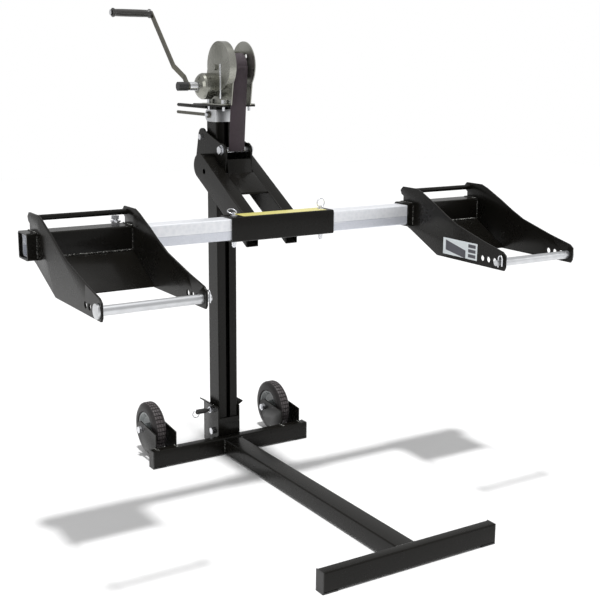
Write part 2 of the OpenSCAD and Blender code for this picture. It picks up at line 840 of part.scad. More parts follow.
// ---- pull pins ----
module pull_pin(s) {
  hi = cross_z + socket_s / 2;
  translate([s * pin_x, pin_y, 0]) difference() {
    union() {
      translate([0, 0, pin_tip + 4]) cylinder(h = hi - pin_tip - 3, r = pin_r, $fn = fine);
      translate([0, 0, pin_tip]) cylinder(h = 4 + lap, r1 = pin_r - 3, r2 = pin_r, $fn = fine);
      translate([0, 0, hi]) cylinder(h = pin_head_h, r = pin_head_r, $fn = fine);
      translate([0, 0, hi]) cylinder(h = pin_eye_h, r = pin_eye_r, $fn = fine);
    }
    translate([0, 0, hi + pin_eye_z]) rotate([0, 90, 0])
      cylinder(h = pin_head_r * 3, r = pin_eye_hole, center = true, $fn = fine);
  }
}

module pull_pin_left() {
  color([0.80, 0.81, 0.83]) placed() pull_pin(-1);
}

module pull_pin_right() {
  color([0.80, 0.81, 0.83]) placed() pull_pin(1);
}

module pin_ring(lean) {
  rotate([lean, 0, 0]) translate([0, 0, pin_ring_r]) rotate([90, 0, 0]) rotate_extrude($fn = fine)
    translate([pin_ring_r, 0]) circle(r = pin_wire_r, $fn = fine);
}

module pin_ring_left() {
  color([0.82, 0.83, 0.85]) placed() translate([-pin_x, pin_y, cross_z + socket_s / 2 + pin_eye_z])
    pin_ring(ring_lean);
}

module pin_ring_right() {
  color([0.82, 0.83, 0.85]) placed() translate([pin_x, pin_y, cross_z + socket_s / 2 + pin_eye_z])
    pin_ring(0);
}

// ---- cradles ----
module cradle_outline() {
  difference() {
    union() {
      polygon([[bar_y - 14, -101], [-115, -101], [12, -43], [48, -30], [48, 50], [58, 55], [63, 66],
        [52, 77], [-14, 77], [-38, 69], [-100, 41], [-150, 16], [-196, -4], [-308, -34], [-384, -51],
        [-396, -60], [-396, -92]]);
      disc(bar_y - 5, -87, 14);
    }
    translate([0, -socket_s / 2]) square([socket_s, socket_s]);
    for (i = [0, 1, 2, 3])
      disc(bar_y + i * hole_step, bar_z, bar_pin_r + spin_gap);
  }
}

module cradle_plates(s) {
  mirror([s < 0 ? 1 : 0, 0, 0]) translate([0, cf, cross_z]) {
    side(cradle_in, cradle_in + cradle_t) cradle_outline();
    side(cradle_out - cradle_t, cradle_out) cradle_outline();
    rod_x(cradle_in + cradle_t - lap, cradle_out - cradle_t + lap, rear_rod_y, rear_rod_z, rear_rod_r);
  }
}

module cradle_socket(s) {
  w = socket_s / 2;
  mirror([s < 0 ? 1 : 0, 0, 0]) translate([0, cf, cross_z]) difference() {
    box(mouth_in, mouth_out, 0, socket_s, -w, w);
    box(mouth_in - 1, mouth_out + 1, socket_t, socket_s - socket_t, -w + socket_t, w - socket_t);
    translate([clamp_x, w, 0]) cylinder(h = socket_s, r = clamp_r + bolt_gap, $fn = fine);
  }
}

module cradle_tray(s) {
  mirror([s < 0 ? 1 : 0, 0, 0]) translate([0, cf, cross_z])
    side(cradle_in + cradle_t, cradle_out - cradle_t)
      polygon([[0, -27], [0, -33], [-110, -100], [-122, -100], [-122, -97]]);
}

module wheel_bar(s) {
  mirror([s < 0 ? 1 : 0, 0, 0]) translate([0, cf, cross_z]) difference() {
    union() {
      rod_x(cradle_in + cradle_t + near, cradle_out - cradle_t - near, bar_y, bar_z, wheel_bar_r);
      rod_x(cradle_in - 16, cradle_out + lap + near, bar_y, bar_z, bar_pin_r);
      rod_x(cradle_out + near, cradle_out + near + 5, bar_y, bar_z, wheel_bar_r + 6);
    }
    translate([cradle_in - clip_out, bar_y, bar_z - 20]) cylinder(h = 40, r = clip_wire + 0.2, $fn = fine);
  }
}

module bar_clip(s) {
  r = clip_r / 2;
  top = bar_pin_r + 4;
  mirror([s < 0 ? 1 : 0, 0, 0]) translate([cradle_in - clip_out, cf + bar_y, cross_z + bar_z]) {
    translate([0, 0, -top]) cylinder(h = top * 2, r = clip_wire, $fn = fine);
    translate([0, -r, top]) rotate([90, 0, 90]) rotate_extrude(angle = 180, $fn = fine)
      translate([r, 0]) circle(r = clip_wire, $fn = fine);
    translate([0, -clip_r, -bar_pin_r]) cylinder(h = top + bar_pin_r, r = clip_wire, $fn = fine);
  }
}

module clamp_bolt(s) {
  w = socket_s / 2;
  tip = inner_s / 2 + 0.4;
  nut_top = rear_rod_z - rear_rod_r - 1;
  mirror([s < 0 ? 1 : 0, 0, 0]) translate([clamp_x, cf + w, cross_z]) {
    translate([0, 0, tip]) cylinder(h = nut_top - tip, r = clamp_r, $fn = fine);
    translate([0, 0, w]) cylinder(h = 8, r = 11, $fn = hex);
    translate([0, 0, w + 8 - lap]) cylinder(h = 3, r = 13, $fn = fine);
    translate([0, 0, nut_top - 8]) cylinder(h = 8, r = 10.5, $fn = hex);
  }
}

module cradle_plates_left() {
  color([0.10, 0.10, 0.09]) placed() cradle_plates(-1);
}

module cradle_plates_right() {
  color([0.10, 0.10, 0.09]) placed() cradle_plates(1);
}

module cradle_socket_left() {
  color([0.11, 0.11, 0.10]) placed() cradle_socket(-1);
}

module cradle_socket_right() {
  color([0.11, 0.11, 0.10]) placed() cradle_socket(1);
}

module cradle_tray_left() {
  color([0.10, 0.10, 0.09]) placed() cradle_tray(-1);
}

module cradle_tray_right() {
  color([0.10, 0.10, 0.09]) placed() cradle_tray(1);
}

module wheel_bar_left() {
  color([0.75, 0.77, 0.78]) placed() wheel_bar(-1);
}

module wheel_bar_right() {
  color([0.75, 0.77, 0.78]) placed() wheel_bar(1);
}

module bar_clip_left() {
  color([0.85, 0.86, 0.88]) placed() bar_clip(-1);
}

module bar_clip_right() {
  color([0.85, 0.86, 0.88]) placed() bar_clip(1);
}

module clamp_bolt_left() {
  color([0.82, 0.83, 0.85]) placed() clamp_bolt(-1);
}

module clamp_bolt_right() {
  color([0.82, 0.83, 0.85]) placed() clamp_bolt(1);
}

rear_bar();
centre_leg();
foot_bar();
end_plugs();
fork_plates();
axle_bolts();
lock_nuts();
mast_socket();
pivot_bolt();
lock_body();
tyre_left();
tyre_right();
rim_left();
rim_right();
lock_pin();
lock_ring();
mast();
top_plate();
rear_handle();
lever_saddle();
winch_frame();
m8_bolts();
gear_cover();
brake_housing();
drum_axle();
release_lever();
drum();
strap_roll();
drum_gear();
crank_shaft();
crank_arm();
crank_bolts();
crank_grip();
strap();
carriage_plates();
lift_arms();
cross_web();
centre_tube();
strap_bolt();
roller_bolts();
inner_tube_left();
inner_tube_right();
rear_roller();
front_roller();
pull_pin_left();
pull_pin_right();
pin_ring_left();
pin_ring_right();
cradle_socket_left();
cradle_socket_right();
cradle_plates_left();
cradle_plates_right();
cradle_tray_left();
cradle_tray_right();
wheel_bar_left();
wheel_bar_right();
bar_clip_left();
bar_clip_right();
clamp_bolt_left();
clamp_bolt_right();
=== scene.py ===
import bpy, bmesh, json, math
from mathutils import Matrix, Vector


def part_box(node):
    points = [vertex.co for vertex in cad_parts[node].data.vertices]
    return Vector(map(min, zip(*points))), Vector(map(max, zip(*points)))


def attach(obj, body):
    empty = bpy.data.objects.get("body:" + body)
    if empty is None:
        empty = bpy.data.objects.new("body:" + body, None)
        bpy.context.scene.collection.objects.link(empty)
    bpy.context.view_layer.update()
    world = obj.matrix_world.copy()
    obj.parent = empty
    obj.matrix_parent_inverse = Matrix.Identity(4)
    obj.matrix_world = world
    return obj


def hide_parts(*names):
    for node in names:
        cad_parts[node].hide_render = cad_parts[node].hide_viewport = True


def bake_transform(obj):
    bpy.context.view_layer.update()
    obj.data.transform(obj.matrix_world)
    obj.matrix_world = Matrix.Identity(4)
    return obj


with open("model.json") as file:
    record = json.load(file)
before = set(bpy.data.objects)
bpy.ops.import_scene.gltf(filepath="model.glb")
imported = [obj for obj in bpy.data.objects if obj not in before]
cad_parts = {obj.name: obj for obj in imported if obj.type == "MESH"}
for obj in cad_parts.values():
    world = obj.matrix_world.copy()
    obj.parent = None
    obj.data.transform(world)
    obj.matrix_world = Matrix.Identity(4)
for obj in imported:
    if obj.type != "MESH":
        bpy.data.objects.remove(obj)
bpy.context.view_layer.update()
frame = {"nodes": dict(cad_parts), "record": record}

# ---- camera and room ----
# The lift stands in a bright white studio, seen from the front and a little
# above, from the crank side. One lamp overhead lays its soft shadow on the floor.
eye = bpy.data.cameras.new("studio_camera")
eye.sensor_width = 36
eye.lens = 64.55
eye.clip_end = 60
camera = bpy.data.objects.new("studio_camera", eye)
bpy.context.collection.objects.link(camera)
camera.matrix_world = Matrix((
    (0.847943, 0.109407, -0.518674, -1.49167),
    (-0.530038, 0.188367, -0.826787, -2.44862),
    (0.007245, 0.975986, 0.217714, 1.18270),
    (0, 0, 0, 1)))
bpy.context.scene.camera = camera
bpy.context.scene.view_settings.view_transform = "Standard"

room = bpy.data.worlds.new("white_room")
bpy.context.scene.world = room
room.use_nodes = True
room.node_tree.nodes["Background"].inputs["Color"].default_value = (1, 1, 1, 1)
ray = room.node_tree.nodes.new("ShaderNodeLightPath")
seen = room.node_tree.nodes.new("ShaderNodeMath")
seen.operation = "MULTIPLY_ADD"
seen.inputs[1].default_value = 0.60
seen.inputs[2].default_value = 0.40
room.node_tree.links.new(ray.outputs["Is Camera Ray"], seen.inputs[0])
mirrored = room.node_tree.nodes.new("ShaderNodeMath")
mirrored.operation = "MULTIPLY_ADD"
mirrored.inputs[1].default_value = 0.20
room.node_tree.links.new(ray.outputs["Is Glossy Ray"], mirrored.inputs[0])
room.node_tree.links.new(seen.outputs[0], mirrored.inputs[2])
room.node_tree.links.new(mirrored.outputs[0], room.node_tree.nodes["Background"].inputs["Strength"])


def softbox(name, place, aim, wide, high, power):
    lamp = bpy.data.lights.new(name, "AREA")
    lamp.shape = "RECTANGLE"
    lamp.size, lamp.size_y, lamp.energy = wide, high, power
    lamp_object = bpy.data.objects.new(name, lamp)
    bpy.context.collection.objects.link(lamp_object)
    lamp_object.location = place
    lamp_object.rotation_euler = (Vector(aim) - Vector(place)).to_track_quat("-Z", "Y").to_euler()


softbox("overhead_softbox", (-0.4, -0.6, 4.2), (0, 0, 0.3), 3.6, 3.6, 16)
softbox("left_softbox", (-3.6, -1.2, 2.2), (0, 0, 0.8), 1.2, 2.6, 22)
softbox("right_softbox", (3.4, -2.2, 1.8), (0, 0, 0.7), 1.4, 2.4, 12)

ceiling_lamp = bpy.data.lights.new("ceiling_lamp", "SUN")
ceiling_lamp.energy = 2.4
ceiling_lamp.angle = math.radians(4.5)
ceiling_object = bpy.data.objects.new("ceiling_lamp", ceiling_lamp)
bpy.context.collection.objects.link(ceiling_object)
ceiling_object.rotation_euler = Vector((0.04, 0.09, -1.0)).to_track_quat("-Z", "Y").to_euler()


def clear_selection():
    if bpy.context.mode != "OBJECT":
        bpy.ops.object.mode_set(mode="OBJECT")
    bpy.ops.object.select_all(action="DESELECT")


def pick(piece):
    clear_selection()
    piece.select_set(True)
    bpy.context.view_layer.objects.active = piece


class Paint:
    """a value in a finish; sums and products add the maths, node() adds anything else"""

    def __init__(self, tree, socket=None):
        self.tree, self.socket = tree, socket

    def node(self, kind, settings=None, out=0, **values):
        made = self.tree.nodes.new(kind)
        for key, value in (settings or {}).items():
            if key == "stops":
                while len(made.color_ramp.elements) < len(value):
                    made.color_ramp.elements.new(0.5)
                for stop, (place, colour) in zip(made.color_ramp.elements, value):
                    stop.position, stop.color = place, (*colour, 1)
            else:
                setattr(made, key, value)
        for key, value in values.items():
            numbered = key[0] == "i" and key[1:].isdigit()
            socket = made.inputs[int(key[1:]) if numbered else key.replace("_", " ")]
            if isinstance(value, Paint):
                self.tree.links.new(value.socket, socket)
            else:
                socket.default_value = value
        return Paint(self.tree, made.outputs[out])

    def maths(self, operation, a, b):
        return self.node("ShaderNodeMath", {"operation": operation}, i0=a, i1=b)

    def __add__(self, other):
        return self.maths("ADD", self, other)

    def __sub__(self, other):
        return self.maths("SUBTRACT", self, other)

    def __mul__(self, other):
        return self.maths("MULTIPLY", self, other)

    def __gt__(self, other):
        return self.maths("GREATER_THAN", self, other)

    def __lt__(self, other):
        return self.maths("LESS_THAN", self, other)

    def mix(self, first, second):
        return self.node("ShaderNodeMix", {"data_type": "RGBA"}, out=2, i0=self, i6=first, i7=second)


def finish(name, metallic=0.0, coat=0.0, coat_roughness=0.1, specular=0.5):
    """a new material, its shader, a Paint to build with, and the place on the piece"""
    made = bpy.data.materials.new(name)
    made.use_nodes = True
    shader = made.node_tree.nodes["Principled BSDF"]
    shader.inputs["Metallic"].default_value = metallic
    shader.inputs["Coat Weight"].default_value = coat
    shader.inputs["Coat Roughness"].default_value = coat_roughness
    shader.inputs["Specular IOR Level"].default_value = specular
    brush = Paint(made.node_tree)
    place = brush.node("ShaderNodeTexCoord", out=3)
    return made, shader, brush, place


def lay(shader, brush, colour=None, rough=None, height=None, depth=0.0005, strength=0.4, metal=None):
    for value, socket in ((colour, "Base Color"), (rough, "Roughness"), (metal, "Metallic")):
        if value is not None:
            brush.tree.links.new(value.socket, shader.inputs[socket])
    if height is not None:
        bump = brush.node("ShaderNodeBump", Height=height, Distance=depth, Strength=strength)
        brush.tree.links.new(bump.socket, shader.inputs["Normal"])


bpy.ops.object.select_all(action="DESELECT")
bpy.ops.mesh.primitive_plane_add(size=16, location=(0, 0, 0))
floor = bpy.context.active_object
floor.name = "studio_floor"
bpy.ops.object.mode_set(mode="EDIT")
bpy.ops.mesh.subdivide(number_cuts=3)
bpy.ops.object.mode_set(mode="OBJECT")
made, shader, brush, place = finish("studio_floor_paint", specular=0.1)
cloud = brush.node("ShaderNodeTexNoise", Vector=place, Scale=1.5)
lay(shader, brush, cloud.mix((0.93, 0.93, 0.93, 1), (0.95, 0.95, 0.95, 1)))
shader.inputs["Roughness"].default_value = 0.9
floor.data.materials.append(made)

# ---- black powder coat ----
# Base, mast, carriage, arms and cradles are welded tube and plate, powder
# coated gloss black. The coat has a fine orange peel and a faint dusty bloom.
body_of = {n: b for b, members in frame["record"]["behaviour"]["bodies"].items() for n in members}


def powder_coat(name, peel):
    made, shader, brush, place = finish(name, coat=0.06, coat_roughness=0.08, specular=0.14)
    bloom = brush.node("ShaderNodeTexNoise", Vector=place, Scale=7.0, Detail=4.0, Roughness=0.6)
    fine = brush.node("ShaderNodeTexNoise", Vector=place, Scale=260.0, Detail=2.0)
    dust = brush.node("ShaderNodeTexNoise", Vector=place, Scale=55.0, Detail=6.0, Roughness=0.7)
    base = bloom.mix((0.0044, 0.0041, 0.0034, 1), (0.0085, 0.0077, 0.0062, 1))
    colour = ((dust - 0.62) * 1.2 * ((dust - 0.62) > 0.0)).mix(base, (0.020, 0.018, 0.015, 1))
    lay(shader, brush, colour, bloom * 0.14 + 0.17 + dust * 0.08, fine * 0.6 + dust * 0.2, peel, 0.22)
    return made


black_coat = powder_coat("gloss_black_powder_coat", 0.0004)


def straight_edges(piece, shortest, chosen):
    """selects the sharp straight edges that are chosen by their middle and direction"""
    bm = bmesh.from_edit_mesh(piece.data)
    for thing in (bm.faces, bm.edges, bm.verts):
        for one in thing:
            one.select = False
    for edge in bm.edges:
        if len(edge.link_faces) == 2 and edge.calc_length() > shortest:
            if edge.calc_face_angle(0) > math.radians(28):
                middle = (edge.verts[0].co + edge.verts[1].co) / 2
                way = (edge.verts[1].co - edge.verts[0].co).normalized()
                if chosen(middle, way):
                    edge.select = True
    bm.select_flush(True)
    count = sum(e.select for e in bm.edges)
    bmesh.update_edit_mesh(piece.data)
    return count


same_point = 0.00002


def copy_of(node):
    """the node's own shape with its loose triangles merged, open in edit mode"""
    piece = bpy.data.objects.new(node + "_finished", frame["nodes"][node].data.copy())
    bpy.context.collection.objects.link(piece)
    pick(piece)
    bpy.ops.object.mode_set(mode="EDIT")
    bpy.ops.mesh.select_all(action="SELECT")
    bpy.ops.mesh.remove_doubles(threshold=same_point)
    bpy.ops.mesh.dissolve_limited(angle_limit=math.radians(0.4))
    return piece


def stand_in(piece, node, material):
    """the shaped copy gets its finish and takes the node's place"""
    bpy.ops.object.mode_set(mode="OBJECT")
    bpy.ops.object.shade_smooth_by_angle(angle=math.radians(32))
    piece.data.materials.clear()
    piece.data.materials.append(material)
    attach(piece, body_of[node])
    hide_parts(node)


def rounded(node, radius, material, chosen=lambda middle, way: True, shortest=0.006, rings=3):
    """the node's own shape with its long edges rounded, as drawn tube and sheared plate have"""
    piece = copy_of(node)
    bpy.ops.mesh.select_mode(type="EDGE")
    if straight_edges(piece, shortest, chosen):
        bpy.ops.mesh.bevel(offset=radius, segments=rings, profile=0.5, clamp_overlap=False)
    stand_in(piece, node, material)


def rounded_tube(node, axis, outer, inner, material):
    """square tube: the ends are opened, the corners rounded outside and in, and the ends closed again"""
    low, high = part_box(node)
    across = [n for n in range(3) if n != axis]
    piece = copy_of(node)
    bm = bmesh.from_edit_mesh(piece.data)
    for face in bm.faces:
        middle = face.calc_center_median()[axis]
        at_end = min(abs(middle - low[axis]), abs(middle - high[axis])) < 0.0005
        face.select = abs(face.normal[axis]) > 0.99 and at_end
    bmesh.update_edit_mesh(piece.data)
    bpy.ops.mesh.delete(type="FACE")
    bpy.ops.mesh.select_mode(type="EDGE")
    for radius, outside in ((outer, True), (inner, False)):
        def corner(middle, way):
            skin = all(min(abs(middle[n] - low[n]), abs(middle[n] - high[n])) < 0.0002 for n in across)
            return along(way, axis) and skin == outside
        if straight_edges(piece, 0.05, corner):
            bpy.ops.mesh.bevel(offset=radius, segments=4, profile=0.5, clamp_overlap=False)
    for end in (low, high):
        bm = bmesh.from_edit_mesh(piece.data)
        for edge in bm.edges:
            edge.select = edge.is_boundary and all(abs(v.co[axis] - end[axis]) < 0.0005 for v in edge.verts)
        bmesh.update_edit_mesh(piece.data)
        bpy.ops.mesh.bridge_edge_loops()
    stand_in(piece, node, material)


def dress(material, *nodes):
    for node in nodes:
        for one in frame["nodes"][node].material_slots:
            one.material = material


def along(way, axis):
    return abs(way[axis]) > 0.95


arm_walls = (0.043, 0.082)


def arm_corner(middle, way):
    return abs(way.x) < 0.1 and min(abs(abs(middle.x) - x) for x in arm_walls) < 0.0006


for bar in ("rear_bar", "foot_bar"):
    rounded_tube(bar, 0, 0.004, 0.0015, black_coat)
rounded_tube("centre_leg", 1, 0.004, 0.0015, black_coat)
rounded("fork_plates", 0.0006, black_coat, shortest=0.004, rings=2)
rounded("mast_socket", 0.0008, black_coat, shortest=0.008, rings=2)
rounded("mast", 0.004, black_coat, lambda m, w: along(w, 2) and abs(m.x) > 0.02, rings=4)
rounded("top_plate", 0.0009, black_coat, rings=2)
rounded("rear_handle", 0.0012, black_coat, rings=2)
rounded("carriage_plates", 0.0008, black_coat, rings=2)
rounded("cross_web", 0.0006, black_coat, rings=2)
rounded("lift_arms", 0.003, black_coat, arm_corner, shortest=0.05)
rounded_tube("centre_tube", 0, 0.005, 0.002, black_coat)
for side in ("left", "right"):
    rounded_tube("cradle_socket_" + side, 0, 0.005, 0.002, black_coat)
    rounded("cradle_plates_" + side, 0.0008, black_coat, shortest=0.009, rings=2)
    rounded("cradle_tray_" + side, 0.0008, black_coat, rings=2)

# ---- weld beads ----
# Every tube and plate of the black frame is joined by a hand-run MIG bead.
# A bead is a row of overlapping flattened drops, coated over with the rest.
bead_coat, shader, brush, place = finish("coated_weld", coat=0.1, specular=0.3)
spatter = brush.node("ShaderNodeTexNoise", Vector=place, Scale=330.0, Detail=3.0, Roughness=0.7)
# The light grey, part metallic flecks on the coated bead are painted glints.
painted_glint_fleck = (spatter > 0.56) * 0.7
colour = painted_glint_fleck.mix((0.012, 0.012, 0.010, 1), (0.52, 0.52, 0.49, 1))
lay(shader, brush, colour, spatter * 0.2 + 0.18, spatter, 0.0006, 0.5, metal=painted_glint_fleck)


def bead(name, body, start, end, radius=0.0028):
    start, end = Vector(start), Vector(end)
    run = end - start
    step = radius * 0.85
    drops = max(2, int(run.length / step))
    clear_selection()
    bpy.ops.mesh.primitive_uv_sphere_add(segments=8, ring_count=6, radius=radius, location=(0, 0, 0))
    piece = bpy.context.active_object
    piece.name = name
    bpy.ops.object.mode_set(mode="EDIT")
    bpy.ops.transform.resize(value=(0.62, 1, 0.9))
    bpy.ops.object.mode_set(mode="OBJECT")
    row = piece.modifiers.new("row", "ARRAY")
    row.count = drops
    row.use_relative_offset = False
    row.use_constant_offset = True
    row.constant_offset_displace = (run.length / drops, 0, 0)
    bpy.ops.object.modifier_apply(modifier="row")
    turn = run.to_track_quat("X", "Z").to_matrix().to_4x4()
    piece.data.transform(Matrix.Translation(start) @ turn)
    bpy.ops.object.shade_smooth()
    piece.data.materials.append(bead_coat)
    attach(piece, body)
    return piece


tube_axis = 0.746
fine_bead = 0.0022
fork_faces = (0.182, 0.186, 0.246, 0.250)
plate_faces = (0.436, 0.441, 0.680, 0.685)
rear_low, rear_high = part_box("rear_bar")
leg_low, leg_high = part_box("centre_leg")
rear_joint = rear_low[1] - 0.0005
front_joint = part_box("foot_bar")[1][1] + 0.0005
for n, x in enumerate((leg_low[0], leg_high[0])):
    for bar, y in (("rear", rear_joint), ("front", front_joint)):
        bead(f"leg_to_{bar}_bar_{n}", "base", (x, y, leg_low[2] + 0.006), (x, y, leg_high[2]))
bead("leg_top_to_front_bar", "base",
     (leg_low[0], front_joint, leg_high[2]), (leg_high[0], front_joint, leg_high[2]))
bar_top = rear_high[2] + 0.0004
for side, s in (("left", -1), ("right", 1)):
    for x in fork_faces:
        bead(f"fork_bead_{side}_{int(x * 1000)}", "base",
             (s * x, rear_low[1] + 0.004, bar_top), (s * x, rear_high[1], bar_top), fine_bead)
tube_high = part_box("centre_tube")[1]
tube_back = tube_high[1] + 0.0006
for n, x in enumerate((-arm_walls[1], -arm_walls[0], arm_walls[0], arm_walls[1])):
    bead(f"arm_to_tube_{n}", "carriage",
         (x, tube_back, tube_high[2] - 0.052), (x, tube_back, tube_high[2] - 0.003))
for side, s in (("left", -1), ("right", 1)):
    cradle = "cradle_" + side
    low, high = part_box("cradle_socket_" + side)
    front, top = low[1] - 0.0003, high[2] + 0.0003
    for n, x in enumerate(plate_faces):
        bead(f"plate_bead_front_{side}_{n}", cradle,
             (s * x, front, low[2] + 0.006), (s * x, front, high[2] - 0.006), fine_bead)
        bead(f"plate_bead_top_{side}_{n}", cradle,
             (s * x, low[1] + 0.006, top), (s * x, high[1] - 0.006, top), fine_bead)
    for n, below in enumerate((0.0265, 0.0335)):
        place = (low[1] - 0.0004, tube_axis - below)
        bead(f"tray_bead_{side}_{n}", cradle, (s * 0.445, *place), (s * 0.676, *place), 0.0030)

# ---- galvanised inner tubes ----
# Square tube, hot-dip galvanised, that slides in the black centre tube. The
# lower half is darker and speckled, and a weld seam runs along the front.
made, shader, brush, place = finish("galvanised_tube", metallic=0.38)
parts = brush.node("ShaderNodeSeparateXYZ", out=2, Vector=place)
speckle = brush.node("ShaderNodeTexNoise", Vector=place, Scale=420.0, Detail=3.0, Roughness=0.8)
spangle = brush.node("ShaderNodeTexVoronoi", Vector=place, Scale=90.0)
drift = brush.node("ShaderNodeTexNoise", Vector=place, Scale=16.0, Detail=3.0)
lower = ((drift - 0.5) * 0.012 + parts) < (tube_axis - 0.004)
seam = (parts > (tube_axis - 0.0042)) * (parts < (tube_axis - 0.0030))
bright = spangle.mix((0.80, 0.82, 0.86, 1), (0.92, 0.93, 0.96, 1))
# Below the axis the tube is darker and speckled.
lower_half_tone = speckle.mix((0.42, 0.45, 0.53, 1), (0.78, 0.80, 0.86, 1))
colour = seam.mix((lower * 0.75).mix(bright, lower_half_tone), (0.50, 0.52, 0.58, 1))
lay(shader, brush, colour, speckle * 0.25 + 0.28, speckle * 0.4 + spangle * 0.3, 0.0002, 0.25)
galvanised = made
for side in ("left", "right"):
    rounded_tube("inner_tube_" + side, 0, 0.004, 0.0015, galvanised)

# ---- zinc fasteners and pins ----
# Turned and cold-headed steel, bright zinc plated: bolts, nuts, pins, rings
# and the lever saddle. The plate is slightly blue and cloudy.
def plated(name, light, dark, rough, grain):
    made, shader, brush, place = finish(name, metallic=0.95)
    cloud = brush.node("ShaderNodeTexNoise", Vector=place, Scale=38.0, Detail=4.0)
    fine = brush.node("ShaderNodeTexNoise", Vector=place, Scale=grain, Detail=2.0)
    lay(shader, brush, cloud.mix((*light, 1), (*dark, 1)), cloud * 0.18 + rough, fine, 0.00015, 0.2)
    return made


bright_zinc = plated("bright_zinc", (0.86, 0.87, 0.90), (0.62, 0.63, 0.66), 0.18, 300.0)
bar_zinc = plated("plated_bar", (0.70, 0.71, 0.73), (0.48, 0.49, 0.50), 0.26, 420.0)
dress(bright_zinc, "axle_bolts", "lock_nuts", "pivot_bolt", "lock_body", "lock_ring", "m8_bolts",
      "drum_axle", "crank_shaft", "strap_bolt", "roller_bolts")
for side in ("left", "right"):
    dress(bright_zinc, "pull_pin_" + side, "pin_ring_" + side, "bar_clip_" + side, "clamp_bolt_" + side)
dress(bar_zinc, "wheel_bar_left", "wheel_bar_right")
rounded("lever_saddle", 0.0009, bar_zinc, rings=2)

# ---- winch ----
# Pressed steel side plates and gear cover, dull grey zinc, with a domed
# brake housing. The cover is two pressings that meet in a raised seam.
made, shader, brush, place = finish("dull_winch_zinc", metallic=0.92)
cloud = brush.node("ShaderNodeTexNoise", Vector=place, Scale=7.0, Detail=3.0, Roughness=0.5)
grain = brush.node("ShaderNodeTexNoise", Vector=place, Scale=340.0, Detail=2.0)
tones = [(0.30, (0.235, 0.235, 0.205)), (0.52, (0.34, 0.34, 0.305)), (0.74, (0.52, 0.52, 0.49))]
tone = cloud.node("ShaderNodeValToRGB", {"stops": tones}, Fac=cloud)
lay(shader, brush, tone, cloud * 0.20 + 0.17, grain * 0.5 + cloud * 0.5, 0.0002, 0.2)
winch_zinc = made
dress(winch_zinc, "winch_frame", "gear_cover", "brake_housing", "drum", "drum_gear")
dark_steel = plated("dark_crank_steel", (0.150, 0.144, 0.120), (0.085, 0.081, 0.066), 0.24, 320.0)
dress(dark_steel, "crank_arm", "release_lever")

mast_front = 0.339
clear_selection()
bpy.ops.mesh.primitive_cube_add(size=1, location=(0, 0, 0))
seam_piece = bpy.context.active_object
seam_piece.name = "cover_seam"
bpy.ops.object.mode_set(mode="EDIT")
bpy.ops.transform.resize(value=(0.0026, 0.0060, 0.0960))
bpy.ops.mesh.bevel(offset=0.0009, segments=3, clamp_overlap=True)
bpy.ops.object.mode_set(mode="OBJECT")
seam_piece.data.transform(Matrix.Translation((-0.0488, mast_front - 0.058, 1.1225)))
bpy.ops.object.shade_smooth_by_angle(angle=math.radians(35))
seam_piece.data.materials.append(bright_zinc)
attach(seam_piece, "mast_body")

# ---- crank grip and knobs ----
# The grip is smooth black plastic with a collar at each end, and turns on its
# bolt, held by a bright washer. Hub knob, plunger knob and plugs are moulded.
made, shader, brush, place = finish("satin_grip_plastic", coat=0.25, coat_roughness=0.22)
mottle = brush.node("ShaderNodeTexNoise", Vector=place, Scale=90.0, Detail=4.0)
colour = mottle.mix((0.020, 0.019, 0.018, 1), (0.040, 0.038, 0.035, 1))
lay(shader, brush, colour, mottle * 0.15 + 0.26, mottle, 0.0002, 0.2)
grip_plastic = made
made, shader, brush, place = finish("moulded_black", specular=0.45)
mottle = brush.node("ShaderNodeTexNoise", Vector=place, Scale=200.0, Detail=3.0)
colour = mottle.mix((0.012, 0.012, 0.012, 1), (0.030, 0.029, 0.028, 1))
lay(shader, brush, colour, mottle * 0.2 + 0.36, mottle, 0.0003, 0.3)
moulded_black = made
dress(moulded_black, "lock_pin", "crank_bolts", "end_plugs", "rear_roller", "front_roller")

grip_low, grip_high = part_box("crank_grip")
bolt_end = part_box("crank_bolts")[0][0]
grip_y = (grip_low[1] + grip_high[1]) / 2
grip_z = (grip_low[2] + grip_high[2]) / 2
clear_selection()
bpy.ops.mesh.primitive_cylinder_add(vertices=40, radius=0.0072, depth=0.0024, location=(0, 0, 0))
washer = bpy.context.active_object
washer.name = "grip_end_washer"
bpy.ops.object.mode_set(mode="EDIT")
bpy.ops.mesh.select_all(action="SELECT")
bpy.ops.mesh.bevel(offset=0.0007, segments=3, clamp_overlap=True)
bpy.ops.object.mode_set(mode="OBJECT")
upright = Matrix.Rotation(math.radians(90), 4, "Y")
washer.data.transform(Matrix.Translation((bolt_end + 0.0008, grip_y, grip_z)) @ upright)
bpy.ops.object.shade_smooth_by_angle(angle=math.radians(40))
washer.data.materials.append(bright_zinc)
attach(washer, "crank")


def turned(name, section, steps):
    """a ring spun about the X axis from its section of (x, radius) points, open in edit mode"""
    mesh = bpy.data.meshes.new(name)
    loop = [(i, (i + 1) % len(section)) for i in range(len(section))]
    mesh.from_pydata([(x, 0, r) for x, r in section], loop, [])
    piece = bpy.data.objects.new(name, mesh)
    bpy.context.collection.objects.link(piece)
    pick(piece)
    bpy.ops.object.mode_set(mode="EDIT")
    bpy.ops.mesh.select_all(action="SELECT")
    bpy.ops.mesh.spin(steps=steps, angle=math.radians(360), center=(0, 0, 0), axis=(1, 0, 0))
    bpy.ops.mesh.select_all(action="SELECT")
    bpy.ops.mesh.remove_doubles(threshold=same_point)
    bpy.ops.mesh.normals_make_consistent(inside=False)
    return piece


